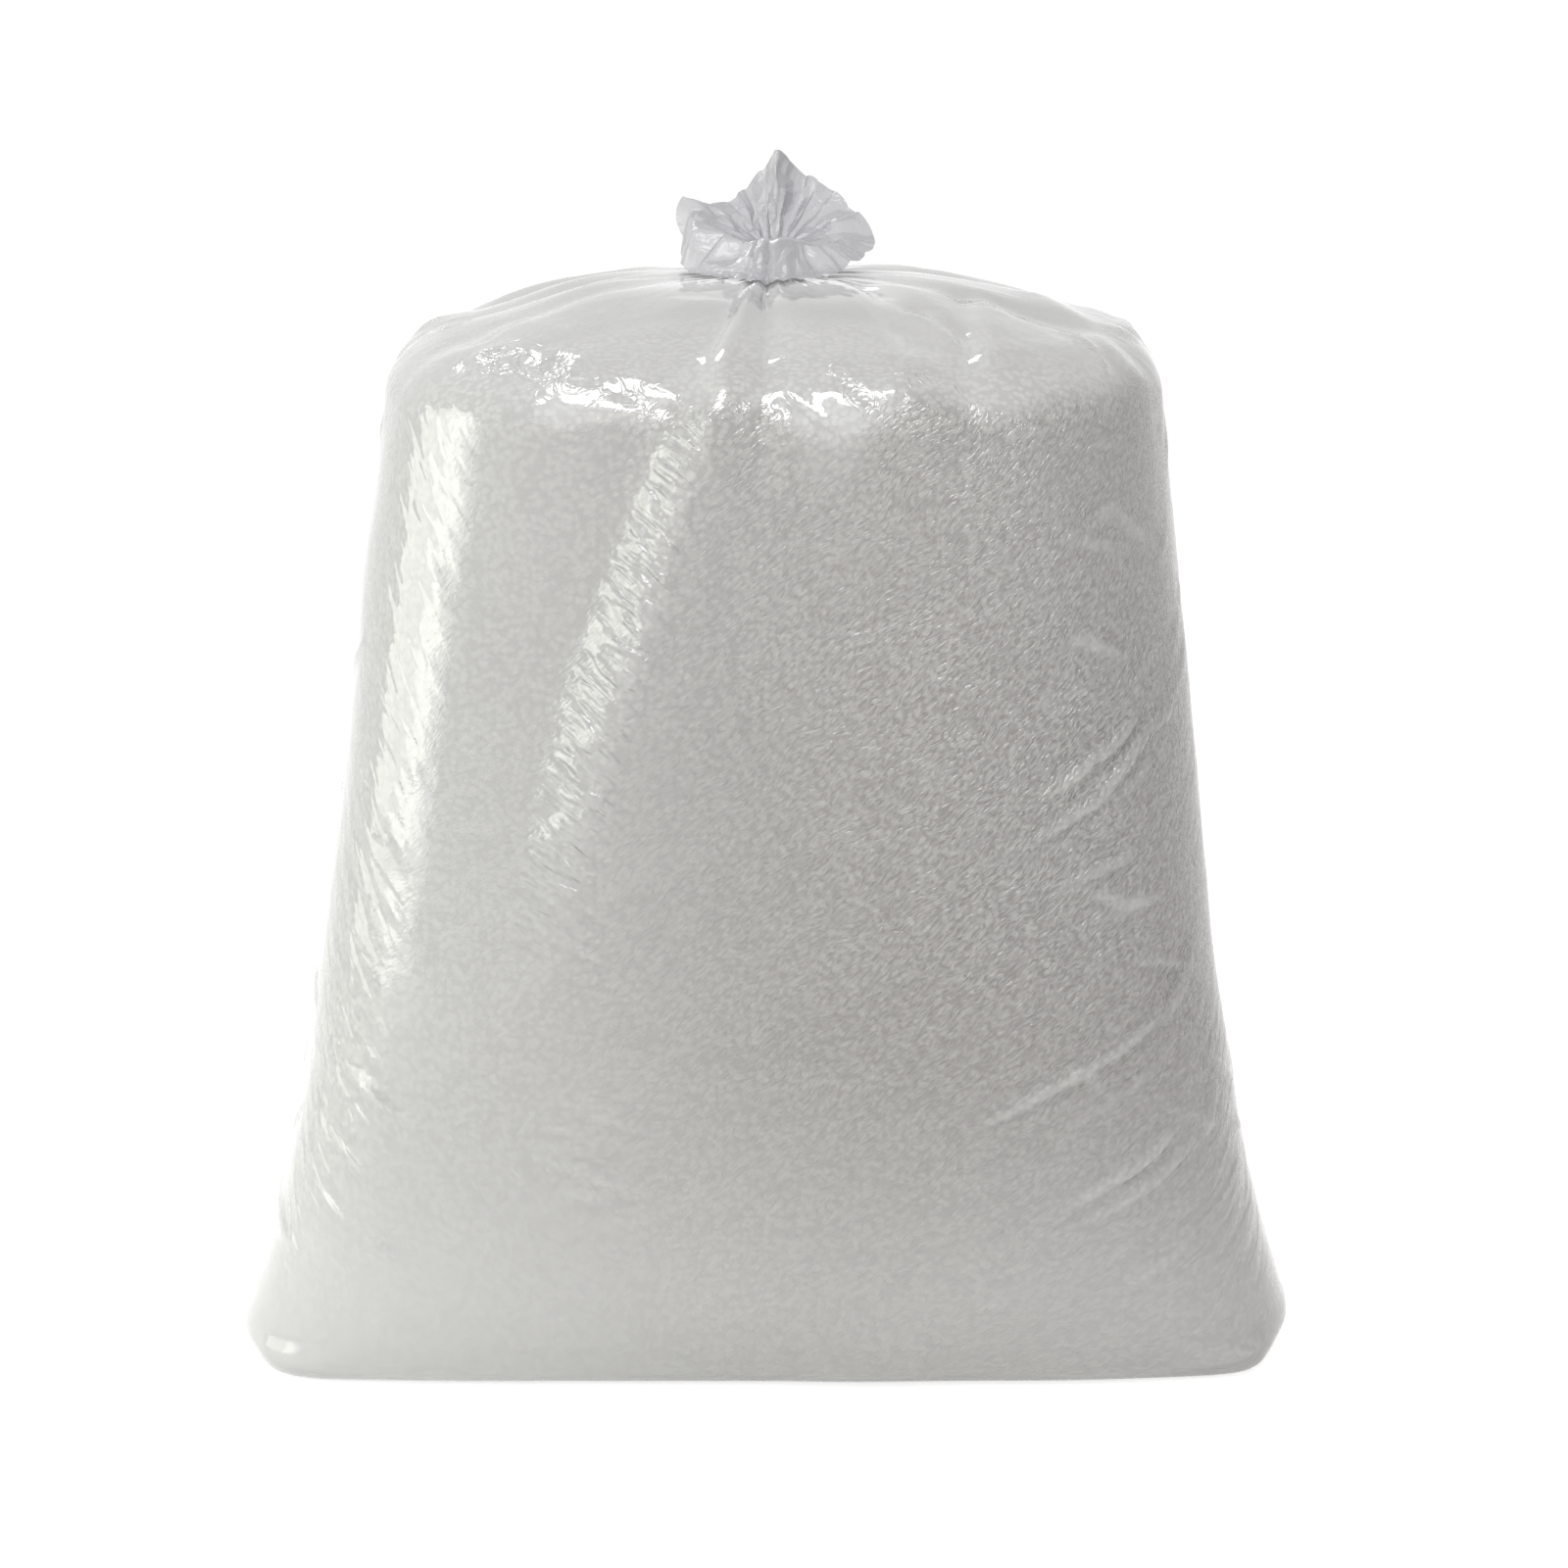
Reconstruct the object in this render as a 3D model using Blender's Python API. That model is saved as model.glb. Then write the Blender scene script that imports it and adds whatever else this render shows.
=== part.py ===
# Clear polythene bag of polystyrene beads. The filled bag stands on its flat foot, the film is
# gathered into a neck by a tie, and the mouth fans out above the tie as a ruffle.
# Metres, +Z up, the front faces -Y, and the origin is at the middle of the foot on the floor.
import math

import bpy
from mathutils import Vector

# Foot: the flat patch that stands on the floor.
FOOT_WIDTH = 0.596
FOOT_DEPTH = 0.276
FOOT_SQUARENESS = 6.5

# Skirt: the widest level, just above the floor.
SKIRT_WIDTH = 0.642
SKIRT_DEPTH = 0.334
SKIRT_HEIGHT = 0.025
SKIRT_SQUARENESS = 4.2
FLARE = 0.028
FLARE_RISE = 0.100

# Sides and shoulder.
SHOULDER_WIDTH = 0.463
SHOULDER_DEPTH = 0.404
SHOULDER_HEIGHT = 0.580
SHOULDER_SQUARENESS = 2.8
BELLY = 0.028
SHOULDER_INSET = 0.047
SHOULDER_ROUND = 0.047
TOP_SQUARENESS = 2.2

# The left front corner is squarer than the others: its angle, half its spread, and how much.
CORNER_ANGLE = 212.0
CORNER_SPREAD = 26.0
CORNER_SQUARENESS = 0.9

# How far the top stands to the right of the foot, and how far the middle sways to the back.
LEAN = 0.006
SWAY = 0.007

# Top: the film between the shoulder and the neck.
TOP_RISE = 0.021
TOP_BULGE = 0.009
TOP_TO_NECK = 0.010
CREASE_DEPTH = 0.015
CREASE_RUN = 0.070

# Neck, and the tie that holds it.
NECK_RADIUS = 0.0135
NECK_PLEAT = 0.0032
TIE_HEIGHT = 0.0060
TIE_THICKNESS = 0.0014
TIE_CLEARANCE = 0.0004
TIE_SIDES = 36

# Ruffle: the mouth above the tie.
RUFFLE_BEND = 0.006
RUFFLE_RINGS = 6

# Film wall, beads and clearances.
FILM_WALL = 0.0004
BEAD_CLEARANCE = 0.0018
HEADROOM = 0.005
FILL_CROWN = 0.020
FILL_FOLD_SHARE = 0.5
CROWN_SHARES = (0.70, 0.35)

# Ears: the two ends of the bottom weld, which poke out at the front corners of the foot.
EAR_REACH = 0.018
EAR_SPREAD = 5.0
EAR_ANGLES = (206.5, 335.5)

# Rings of points up the bag, and the levels between the shoulder and the neck.
UNDERSIDE_RINGS = 3
SIDE_RINGS = 9
ROUND_RINGS = 3
TOP_SHARES = (0.16, 0.38, 0.60, 0.79, 0.92)
FILL_SKIP = 2

# One row for each pleat, from its crease to the next: the crease's angle on the bag, the points
# across the pleat and the crease's angle in the ruffle, then in the ruffle the slope and reach of
# the crease and of the lobe after it, in degrees above level and in metres.
PLEATS = (
    (24.0, 10, 24.0, 28.0, 0.054, 46.0, 0.056),
    (72.0, 10, 66.0, 58.0, 0.052, 72.0, 0.055),
    (118.0, 10, 112.0, 84.0, 0.056, 50.0, 0.046),
    (168.0, 10, 161.0, 26.0, 0.056, 4.0, 0.060),
    (214.0, 10, 204.0, 10.0, 0.054, -10.0, 0.050),
    (257.0, 4, 240.0, -14.0, 0.044, 8.0, 0.040),
    (265.5, 4, 262.0, 12.0, 0.040, -12.0, 0.038),
    (274.0, 8, 284.0, -14.0, 0.040, 12.0, 0.046),
    (304.0, 10, 314.0, 8.0, 0.046, -8.0, 0.050),
    (338.0, 12, 346.0, -2.0, 0.056, 8.0, 0.058),
)

# The fold that stands out of the front, from its lower end up: the height on the bag, the crest's
# place across, how far it stands out, and its half width to the left and to the right.
FOLD = (
    (0.215, -0.130, 0.0000, 0.028, 0.090),
    (0.290, -0.110, 0.0060, 0.028, 0.090),
    (0.370, -0.090, 0.0130, 0.030, 0.090),
    (0.450, -0.069, 0.0160, 0.032, 0.080),
    (0.520, -0.052, 0.0150, 0.026, 0.050),
    (0.570, -0.040, 0.0120, 0.022, 0.036),
    (0.640, -0.028, 0.0060, 0.020, 0.024),
)


def blend(low, high, share):
    return low + (high - low) * share


def smooth_step(share):
    share = min(1.0, max(0.0, share))
    return share * share * (3.0 - 2.0 * share)


def pleat_angles():
    """Each point's place: its angle on the bag and in the ruffle, its pleat and its share of that pleat."""
    places = []
    for index, (start, points, ruffle_start, *_) in enumerate(PLEATS):
        after = PLEATS[(index + 1) % len(PLEATS)]
        turn = 360.0 if index == len(PLEATS) - 1 else 0.0
        for step in range(points):
            share = step / points
            angle = math.radians(blend(start, after[0] + turn, share))
            ruffle_angle = math.radians(blend(ruffle_start, after[2] + turn, share))
            places.append((angle, ruffle_angle, index, share))
    return places


def valley(share):
    """1 in the crease between two pleats and 0 on the crest of a lobe."""
    return 1.0 - abs(math.sin(math.pi * share)) ** 0.6


def radius_at(angle, width, depth, squareness):
    """Distance from the axis to a rounded rectangle of that width and depth."""
    gap = (math.degrees(angle) % 360.0 - CORNER_ANGLE) / CORNER_SPREAD
    squareness += CORNER_SQUARENESS * math.exp(-(gap**2))
    across = abs(math.cos(angle)) / (width / 2)
    along = abs(math.sin(angle)) / (depth / 2)
    return (across**squareness + along**squareness) ** (-1.0 / squareness)


def at_angle(angle, radius, height):
    """A point around the bag's axis, which leans and sways with the bag up to the shoulder."""
    rise = min(1.0, height / SHOULDER_HEIGHT)
    across = LEAN * rise + radius * math.cos(angle)
    along = SWAY * math.sin(math.pi * rise) + radius * math.sin(angle)
    return Vector((across, along, height))


def side_section(height):
    """Width, depth and squareness of the bag at a height between its skirt and its shoulder."""
    rise = (height - SKIRT_HEIGHT) / (SHOULDER_HEIGHT - SKIRT_HEIGHT)
    flare = 2 * FLARE * math.exp(-(height - SKIRT_HEIGHT) / FLARE_RISE)
    width = blend(SKIRT_WIDTH - 2 * FLARE, SHOULDER_WIDTH, rise) + flare
    depth = blend(SKIRT_DEPTH, SHOULDER_DEPTH, rise) + 2 * BELLY * math.sin(math.pi * rise**0.8)
    squareness = blend(SHOULDER_SQUARENESS, SKIRT_SQUARENESS, math.exp(-4.0 * rise))
    return width, depth, squareness


def fold_height(point):
    """How far the fold lifts the film at a point of the front."""
    if point.y > 0 or not FOLD[0][0] < point.z < FOLD[-1][0]:
        return 0.0
    row = max(index for index in range(len(FOLD) - 1) if FOLD[index][0] <= point.z)
    low, high = FOLD[row], FOLD[row + 1]
    share = (point.z - low[0]) / (high[0] - low[0])
    crest, rise, left, right = (blend(low[k], high[k], share) for k in (1, 2, 3, 4))
    gap = point.x - crest
    return rise * math.exp(-((gap / (left if gap < 0 else right)) ** 2))


def ear_reach(angle):
    """How far the ends of the bottom weld pull the foot outwards at an angle."""
    gaps = [math.degrees(angle) % 360.0 - ear for ear in EAR_ANGLES]
    return EAR_REACH * sum(math.exp(-((gap / EAR_SPREAD) ** 2)) for gap in gaps)


def foot_ring(places):
    """The edge of the flat patch on the floor."""
    ring = []
    for angle, _, _, _ in places:
        radius = radius_at(angle, FOOT_WIDTH, FOOT_DEPTH, FOOT_SQUARENESS)
        ring.append(at_angle(angle, radius, 0.0))
    return ring


def underside_ring(places, step, eared=True):
    turn = math.radians(90.0 * step / UNDERSIDE_RINGS)
    width = blend(FOOT_WIDTH, SKIRT_WIDTH, math.sin(turn))
    depth = blend(FOOT_DEPTH, SKIRT_DEPTH, math.sin(turn))
    squareness = blend(FOOT_SQUARENESS, SKIRT_SQUARENESS, step / UNDERSIDE_RINGS)
    height = SKIRT_HEIGHT * (1.0 - math.cos(turn))
    pull = math.cos(turn) if eared else 0.0
    ring = []
    for angle, _, _, _ in places:
        radius = radius_at(angle, width, depth, squareness)
        ring.append(at_angle(angle, radius + pull * ear_reach(angle), height))
    return ring


def side_ring(places, step, fold_share=1.0):
    share = (step / SIDE_RINGS) ** 1.15
    height = blend(SKIRT_HEIGHT, SHOULDER_HEIGHT, share)
    width, depth, squareness = side_section(height)
    creased = CREASE_DEPTH * 0.3 * smooth_step(1.0 - (SHOULDER_HEIGHT - height) / CREASE_RUN)
    ring = []
    for angle, _, _, part in places:
        radius = radius_at(angle, width, depth, squareness) - creased * valley(part)
        radius += fold_share * fold_height(at_angle(angle, radius, height))
        ring.append(at_angle(angle, radius, height))
    return ring


def round_ring(places, step, fold_share=1.0):
    turn = math.radians(90.0 * step / ROUND_RINGS)
    width, depth, squareness = side_section(SHOULDER_HEIGHT)
    squareness = blend(squareness, TOP_SQUARENESS, step / ROUND_RINGS)
    creased = CREASE_DEPTH * blend(0.3, 0.7, step / ROUND_RINGS)
    ring = []
    for angle, _, _, part in places:
        radius = radius_at(angle, width, depth, squareness)
        radius -= SHOULDER_INSET * (1.0 - math.cos(turn))
        folded = fold_share * fold_height(at_angle(angle, radius, SHOULDER_HEIGHT))
        radius += folded * math.cos(turn)
        radius -= creased * valley(part) * math.cos(turn)
        height = SHOULDER_HEIGHT + SHOULDER_ROUND * math.sin(turn)
        ring.append(at_angle(angle, radius, height - creased * valley(part) * math.sin(turn)))
    return ring


def top_ring(places, share):
    """A level between the shoulder and the neck; share is 0 at the shoulder and 1 at the neck."""
    width, depth, _ = side_section(SHOULDER_HEIGHT)
    creased = CREASE_DEPTH * math.sin(math.pi * blend(0.25, 0.98, share))
    height = SHOULDER_HEIGHT + SHOULDER_ROUND + TOP_RISE * share + TOP_BULGE * math.sin(math.pi * share)
    turned = smooth_step((share - 0.3) / 0.7)
    ring = []
    for angle, ruffle_angle, _, part in places:
        edge = radius_at(angle, width, depth, TOP_SQUARENESS) - SHOULDER_INSET
        radius = blend(edge, NECK_RADIUS, share)
        radius -= NECK_PLEAT * share**4 * valley(part)
        height_here = height - creased * valley(part)
        ring.append(at_angle(blend(angle, ruffle_angle, turned), radius, height_here))
    return ring


def neck_radius(part):
    return NECK_RADIUS - NECK_PLEAT * valley(part)


def neck_ring(places, height):
    """The pleated film inside the tie."""
    return [at_angle(angle, neck_radius(part), height) for _, angle, _, part in places]


def ruffle_point(place, run):
    """The film at a share run of its way from the tie to the mouth's rim."""
    _, ruffle_angle, index, part = place
    following = PLEATS[(index + 1) % len(PLEATS)]
    crease_slope, crease_reach, lobe_slope, lobe_reach = PLEATS[index][3:]
    crease_slope = blend(crease_slope, following[3], smooth_step(part))
    crease_reach = blend(crease_reach, following[4], smooth_step(part))
    inward = (1.0 + math.cos(2.0 * math.pi * part)) / 2.0
    slope = math.radians(blend(lobe_slope, crease_slope, inward))
    travel = run * blend(lobe_reach, crease_reach, inward)
    bend = RUFFLE_BEND * (1.0 - math.exp(-travel / RUFFLE_BEND))
    radius = neck_radius(part) + math.cos(slope) * (travel - bend)
    height = neck_top() + math.sin(slope) * (travel - bend) + bend
    return at_angle(ruffle_angle, radius, height)


def ruffle_ring(places, step):
    run = (step / RUFFLE_RINGS) ** 1.2
    return [ruffle_point(place, run) for place in places]


def neck_base():
    return SHOULDER_HEIGHT + SHOULDER_ROUND + TOP_RISE + TOP_TO_NECK


def neck_top():
    return neck_base() + TIE_HEIGHT + 2 * TIE_CLEARANCE


def outer_rings(places):
    """The outside of the film, from the foot's edge up to the rim of the mouth."""
    rings = [foot_ring(places)]
    rings += [underside_ring(places, step) for step in range(1, UNDERSIDE_RINGS + 1)]
    rings += [side_ring(places, step) for step in range(1, SIDE_RINGS + 1)]
    rings += [round_ring(places, step) for step in range(1, ROUND_RINGS + 1)]
    rings += [top_ring(places, share) for share in TOP_SHARES]
    rings += [neck_ring(places, neck_base()), neck_ring(places, neck_top())]
    rings += [ruffle_ring(places, step) for step in range(1, RUFFLE_RINGS + 1)]
    return rings


def inward_of(rings, level, index, distance):
    """A ring's point moved into the bag, square to the film."""
    ring = rings[level]
    around = ring[(index + 1) % len(ring)] - ring[index - 1]
    lower = rings[level - 1][index] if level else ring[index] * 0.9
    normal = around.cross(rings[level + 1][index] - lower).normalized()
    return ring[index] - normal * distance


def fill_rings(places):
    """The poured beads: a clearance inside the film, with headroom under the top and a low crown."""
    shell = [foot_ring(places)]
    shell += [underside_ring(places, step, False) for step in range(1, UNDERSIDE_RINGS + 1)]
    shell += [side_ring(places, step, FILL_FOLD_SHARE) for step in range(1, SIDE_RINGS + 1)]
    sides = len(shell)
    shell += [round_ring(places, step, FILL_FOLD_SHARE) for step in range(1, ROUND_RINGS + 1)]
    kept = range(0, len(places), FILL_SKIP)
    rings = []
    for level in range(len(shell) - 1):
        above = max(0, level + 1 - sides) / (ROUND_RINGS - 1)
        inset = FILM_WALL + BEAD_CLEARANCE + HEADROOM * above
        rings.append([inward_of(shell, level, index, inset) for index in kept])
    for point in rings[0]:
        point.z = FILM_WALL + BEAD_CLEARANCE
    rim = rings[-1]
    for share in CROWN_SHARES:
        rings.append([crown_point(point, share) for point in rim])
    return rings


def crown_point(point, share):
    """A point of the beads' rim moved in over the crown, to a share of the way out."""
    across = LEAN + (point.x - LEAN) * share
    return Vector((across, point.y * share, point.z + FILL_CROWN * (1.0 - share**2)))


def tie_rings():
    """The tie as four rings of points: down its inside, then up its outside."""
    inner = NECK_RADIUS + TIE_CLEARANCE
    outer = inner + TIE_THICKNESS
    low = neck_base() + TIE_CLEARANCE
    high = low + TIE_HEIGHT
    rings = []
    for radius, height in ((inner, high), (inner, low), (outer, low), (outer, high)):
        turns = [2 * math.pi * step / TIE_SIDES for step in range(TIE_SIDES)]
        rings.append([at_angle(turn, radius, height) for turn in turns])
    return rings


def add_object(name, points, faces, colour, roughness, alpha):
    """A named object with its own plain material, shaded smooth apart from its flat faces."""
    mesh = bpy.data.meshes.new(name)
    mesh.from_pydata([tuple(point) for point in points], [], faces)
    for polygon in mesh.polygons:
        polygon.use_smooth = len(polygon.vertices) < 5
    mesh.validate()
    obj = bpy.data.objects.new(name, mesh)
    bpy.context.scene.collection.objects.link(obj)
    material = bpy.data.materials.new(name + "_material")
    material.use_nodes = True
    shader = material.node_tree.nodes["Principled BSDF"]
    shader.inputs["Base Color"].default_value = (*colour, 1.0)
    shader.inputs["Roughness"].default_value = roughness
    shader.inputs["Alpha"].default_value = alpha
    mesh.materials.append(material)
    return obj


def bands(rings, joined=False):
    """Four-sided faces between neighbouring rings, and between the last and the first if they are joined."""
    count = len(rings[0])
    faces = []
    for level in range(len(rings) if joined else len(rings) - 1):
        low = level * count
        high = (level + 1) % len(rings) * count
        for index in range(count):
            after = (index + 1) % count
            faces.append((low + index, low + after, high + after, high + index))
    return faces


def joined_points(rings):
    return [point for ring in rings for point in ring]


def make_film(places):
    """One sheet of film, closed by the foot and open at the mouth, with its wall laid on the inside."""
    rings = outer_rings(places)
    faces = [tuple(reversed(range(len(places))))] + bands(rings)
    film = add_object("film_bag", joined_points(rings), faces, (0.62, 0.62, 0.60), 0.12, 0.35)
    wall = film.modifiers.new("film wall", "SOLIDIFY")
    wall.thickness = FILM_WALL
    wall.offset = -1.0
    wall.use_even_offset = True
    wall.use_quality_normals = True
    wall.thickness_clamp = 1.0
    return film


def make_fill(places):
    rings = fill_rings(places)
    points = joined_points(rings)
    count = len(rings[0])
    top = points[-count:]
    centre = len(points)
    points.append(Vector((LEAN, 0.0, top[0].z + FILL_CROWN * CROWN_SHARES[-1] ** 2)))
    faces = [tuple(reversed(range(count)))] + bands(rings)
    last = centre - count
    faces += [(last + index, last + (index + 1) % count, centre) for index in range(count)]
    return add_object("bead_fill", points, faces, (0.80, 0.80, 0.77), 0.85, 1.0)


def make_tie():
    rings = tie_rings()
    return add_object("neck_tie", joined_points(rings), bands(rings, True), (0.70, 0.70, 0.68), 0.35, 1.0)


def main():
    for obj in list(bpy.data.objects):
        bpy.data.objects.remove(obj, do_unlink=True)
    places = pleat_angles()
    make_film(places)
    make_fill(places)
    make_tie()


main()
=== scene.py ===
import math

import bpy
import numpy as np
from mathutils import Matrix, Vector
from mathutils.bvhtree import BVHTree


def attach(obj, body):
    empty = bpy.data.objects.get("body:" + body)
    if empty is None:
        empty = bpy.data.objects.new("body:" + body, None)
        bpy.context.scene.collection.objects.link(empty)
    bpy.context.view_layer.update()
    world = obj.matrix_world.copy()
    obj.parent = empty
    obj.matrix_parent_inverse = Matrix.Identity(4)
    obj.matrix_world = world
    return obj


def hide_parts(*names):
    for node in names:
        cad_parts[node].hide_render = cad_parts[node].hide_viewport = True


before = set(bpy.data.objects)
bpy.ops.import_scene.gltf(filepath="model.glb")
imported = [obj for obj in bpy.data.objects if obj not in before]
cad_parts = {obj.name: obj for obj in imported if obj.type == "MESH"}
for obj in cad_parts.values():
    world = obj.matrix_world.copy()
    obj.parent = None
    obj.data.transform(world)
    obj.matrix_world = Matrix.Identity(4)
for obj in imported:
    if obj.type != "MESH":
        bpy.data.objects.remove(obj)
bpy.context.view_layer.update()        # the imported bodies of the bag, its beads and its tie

# Bag of polystyrene beads. The film is lofted ring by ring from the flat foot to the tie, then
# folded, creased and wrinkled in code. The beads are a lumpy mass just inside it, and the mouth
# is a ruffle above the tie that rests on the bag. Metres, the front faces -Y. Places on the film
# are its run along from the middle of the front and its run up from the foot.

bagShape = {
    "footWidth": 0.596, "footDepth": 0.276, "footSquareness": 6.5,
    "skirtWidth": 0.642, "skirtDepth": 0.334, "skirtHeight": 0.025, "skirtSquareness": 4.2,
    "flare": 0.028, "flareRise": 0.100,
    "shoulderWidth": 0.463, "shoulderDepth": 0.404, "shoulderHeight": 0.580,
    "shoulderSquareness": 2.8, "belly": 0.028,
    "shoulderInset": 0.047, "shoulderRound": 0.047, "topSquareness": 2.2, "turnEnd": 75.0,
    "endDrop": ((182, 34, 0.012), (2, 26, 0.005)),  # angle, spread and how much rounder the shoulder is
    "lean": 0.006, "topRise": 0.021, "topBulge": 0.009, "topToNeck": 0.010, "sway": 0.007,
    "neckRadius": 0.0135, "neckPleat": 0.0030, "tieHeight": 0.0068,
    "leftCorner": (212, 26, 0.9),  # angle, spread and extra squareness of the left front corner
    "ears": (206.5, 335.5), "earReach": 0.013, "earSpread": 4.5,  # the ends of the bottom weld
    "girth": 1.74,  # round the film, so the random fields close on themselves at the back
    "girthHeight": 0.30,  # where the run along the film is measured
    # run up the film at the two ends of each stage
    "stageRun": {"foot": (-0.20, 0.0), "underside": (0.0, 0.025), "side": (0.025, 0.580),
                 "turn": (0.580, 0.6415), "top": (0.6415, 0.845), "neck": (0.845, 0.855)},
}


def smooth(share):
    share = np.clip(share, 0.0, 1.0)
    return share * share * (3.0 - 2.0 * share)


def blend(low, high, share):
    return low + (high - low) * share


def linear(hexColour):
    # sRGB hex to the linear colour that the shader sockets take
    parts = [int(hexColour[i:i + 2], 16) / 255 for i in (1, 3, 5)]
    return [p / 12.92 if p <= 0.04045 else ((p + 0.055) / 1.055) ** 2.4 for p in parts] + [1.0]


def roundedRadius(angle, width, depth, squareness):
    # distance from the axis to a rounded rectangle
    corner, spread, extra = bagShape["leftCorner"]
    squareness = squareness + extra * np.exp(-((np.degrees(angle) % 360 - corner) / spread) ** 2)
    across = np.abs(np.cos(angle)) / (width / 2)
    along = np.abs(np.sin(angle)) / (depth / 2)
    return (across ** squareness + along ** squareness) ** (-1.0 / squareness)


def sideSection(height):
    s = bagShape
    rise = np.clip((height - s["skirtHeight"]) / (s["shoulderHeight"] - s["skirtHeight"]), 0, 1)
    flare = 2 * s["flare"] * np.exp(-(height - s["skirtHeight"]) / s["flareRise"])
    width = blend(s["skirtWidth"] - 2 * s["flare"], s["shoulderWidth"], rise) + flare
    depth = blend(s["skirtDepth"], s["shoulderDepth"], rise)
    depth = depth + 2 * s["belly"] * np.sin(np.pi * rise ** 0.8)
    squareness = blend(s["shoulderSquareness"], s["skirtSquareness"], np.exp(-4.0 * rise))
    return width, depth, squareness


def girthLine(start, end, count):
    # the film's outline at one height: angles, distance to the right and length of each step
    dense = np.linspace(np.radians(start), np.radians(end), count)
    radius = roundedRadius(dense, *sideSection(bagShape["girthHeight"]))
    x, y = radius * np.cos(dense), radius * np.sin(dense)
    return dense, x, np.hypot(np.diff(x), np.diff(y))


def columnAngles(count):
    # angles of the upright columns: even along the film, and closer together at the front
    dense, _, step = girthLine(0, 360, 7201)
    middle = (dense[1:] + dense[:-1]) / 2
    step = step * (0.60 + 0.80 * smooth((0.45 - np.sin(middle)) / 0.9))
    run = np.concatenate([[0], np.cumsum(step)])
    return np.interp(np.arange(count) / count * run[-1], run, dense)


def profileLevels(counts):
    # the levels of the film from the foot to the tie, each as (stage, share)
    return [(stage, (i + 1) / count) for stage, count in zip(bagShape["stageRun"], counts)
            for i in range(count)]


def levelRing(stage, share, angle, ears=1.0):
    # radius and height of one level of the smooth bag, for all the angles
    s = bagShape
    ones = np.ones_like(angle)
    if stage == "foot":
        radius = roundedRadius(angle, s["footWidth"], s["footDepth"], s["footSquareness"])
        return radius * share ** 0.7, 0.0 * ones
    if stage == "underside":
        # rolls from flat on the floor to the lean that the side has there, with no kink
        rise = s["skirtHeight"]
        low = roundedRadius(angle, s["footWidth"], s["footDepth"], s["footSquareness"])
        high = roundedRadius(angle, *sideSection(rise))
        lean = (roundedRadius(angle, *sideSection(rise + 0.004)) - high) / 0.004
        away, back = share * (1 - share) ** 2 * 1.65, share ** 2 * (share - 1) * 1.65
        near = share ** 2 * (3 - 2 * share)
        radius = blend(low, high, near) + away * (high - low) + back * rise * lean
        poke = math.cos(math.radians(90 * share)) ** 0.7 * math.sin(math.pi * min(1, 3 * share) / 2)
        return radius + ears * poke * earReach(angle), rise * (near + back) * ones
    if stage == "side":
        height = blend(s["skirtHeight"], s["shoulderHeight"], share)
        return roundedRadius(angle, *sideSection(height)), height * ones
    width, depth, squareness = sideSection(s["shoulderHeight"])
    rounder = share if stage == "turn" else 1.0
    shoulder = roundedRadius(angle, width, depth, blend(squareness, s["topSquareness"], rounder ** 1.5))
    turn = math.radians(s["turnEnd"]) * rounder
    drop = sum(size * np.exp(-(((np.degrees(angle) - place + 180) % 360 - 180) / spread) ** 2)
               for place, spread, size in s["endDrop"])
    edge = shoulder - (s["shoulderInset"] + 1.6 * drop) * (1 - math.cos(turn))
    edgeHeight = s["shoulderHeight"] + (s["shoulderRound"] - 0.3 * drop) * math.sin(turn)
    if stage == "turn":
        return edge, edgeHeight
    base = s["shoulderHeight"] + s["shoulderRound"] + s["topRise"]
    if stage == "top":
        radius = blend(edge, s["neckRadius"], share)
        bulge = (s["topBulge"] + 0.2 * drop) * math.sin(math.pi * share)
        return radius, blend(edgeHeight, base, share) + bulge
    return s["neckRadius"] * ones, (base + (s["topToNeck"] + s["tieHeight"] / 2) * share) * ones


def earReach(angle):
    # the two ends of the bottom weld poke out at the front corners
    away = [(np.degrees(angle) % 360 - ear) / bagShape["earSpread"] for ear in bagShape["ears"]]
    return bagShape["earReach"] * sum(np.exp(-gap ** 2) for gap in away)


def neckTop():
    s = bagShape
    return s["shoulderHeight"] + s["shoulderRound"] + s["topRise"] + s["topToNeck"] + s["tieHeight"]


def makeSmoothBag(counts, columns, ears=1.0):
    # points of the smooth bag as rings x columns x 3, with each ring's run up the film
    angle = columnAngles(columns)
    points, stages = [], []
    for stage, share in profileLevels(counts):
        radius, height = levelRing(stage, share, angle, ears)
        rise = np.minimum(1, height / bagShape["shoulderHeight"])
        x = bagShape["lean"] * rise + radius * np.cos(angle)
        y = bagShape["sway"] * np.sin(np.pi * rise) + radius * np.sin(angle)
        points.append(np.stack([x, y, height], 1))
        stages.append((stage, share))
    points = np.array(points)
    front = np.argmin(np.abs(angle - np.radians(270)))
    run = np.concatenate([[0], np.cumsum(np.linalg.norm(np.diff(points[:, front], axis=0), axis=1))])
    return angle, points, stages, run


def surfaceNormals(points):
    around = np.roll(points, -1, axis=1) - np.roll(points, 1, axis=1)
    up = np.gradient(points, axis=0)
    normal = np.cross(around, up)
    return normal / np.maximum(np.linalg.norm(normal, axis=2, keepdims=True), 1e-12)


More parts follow.
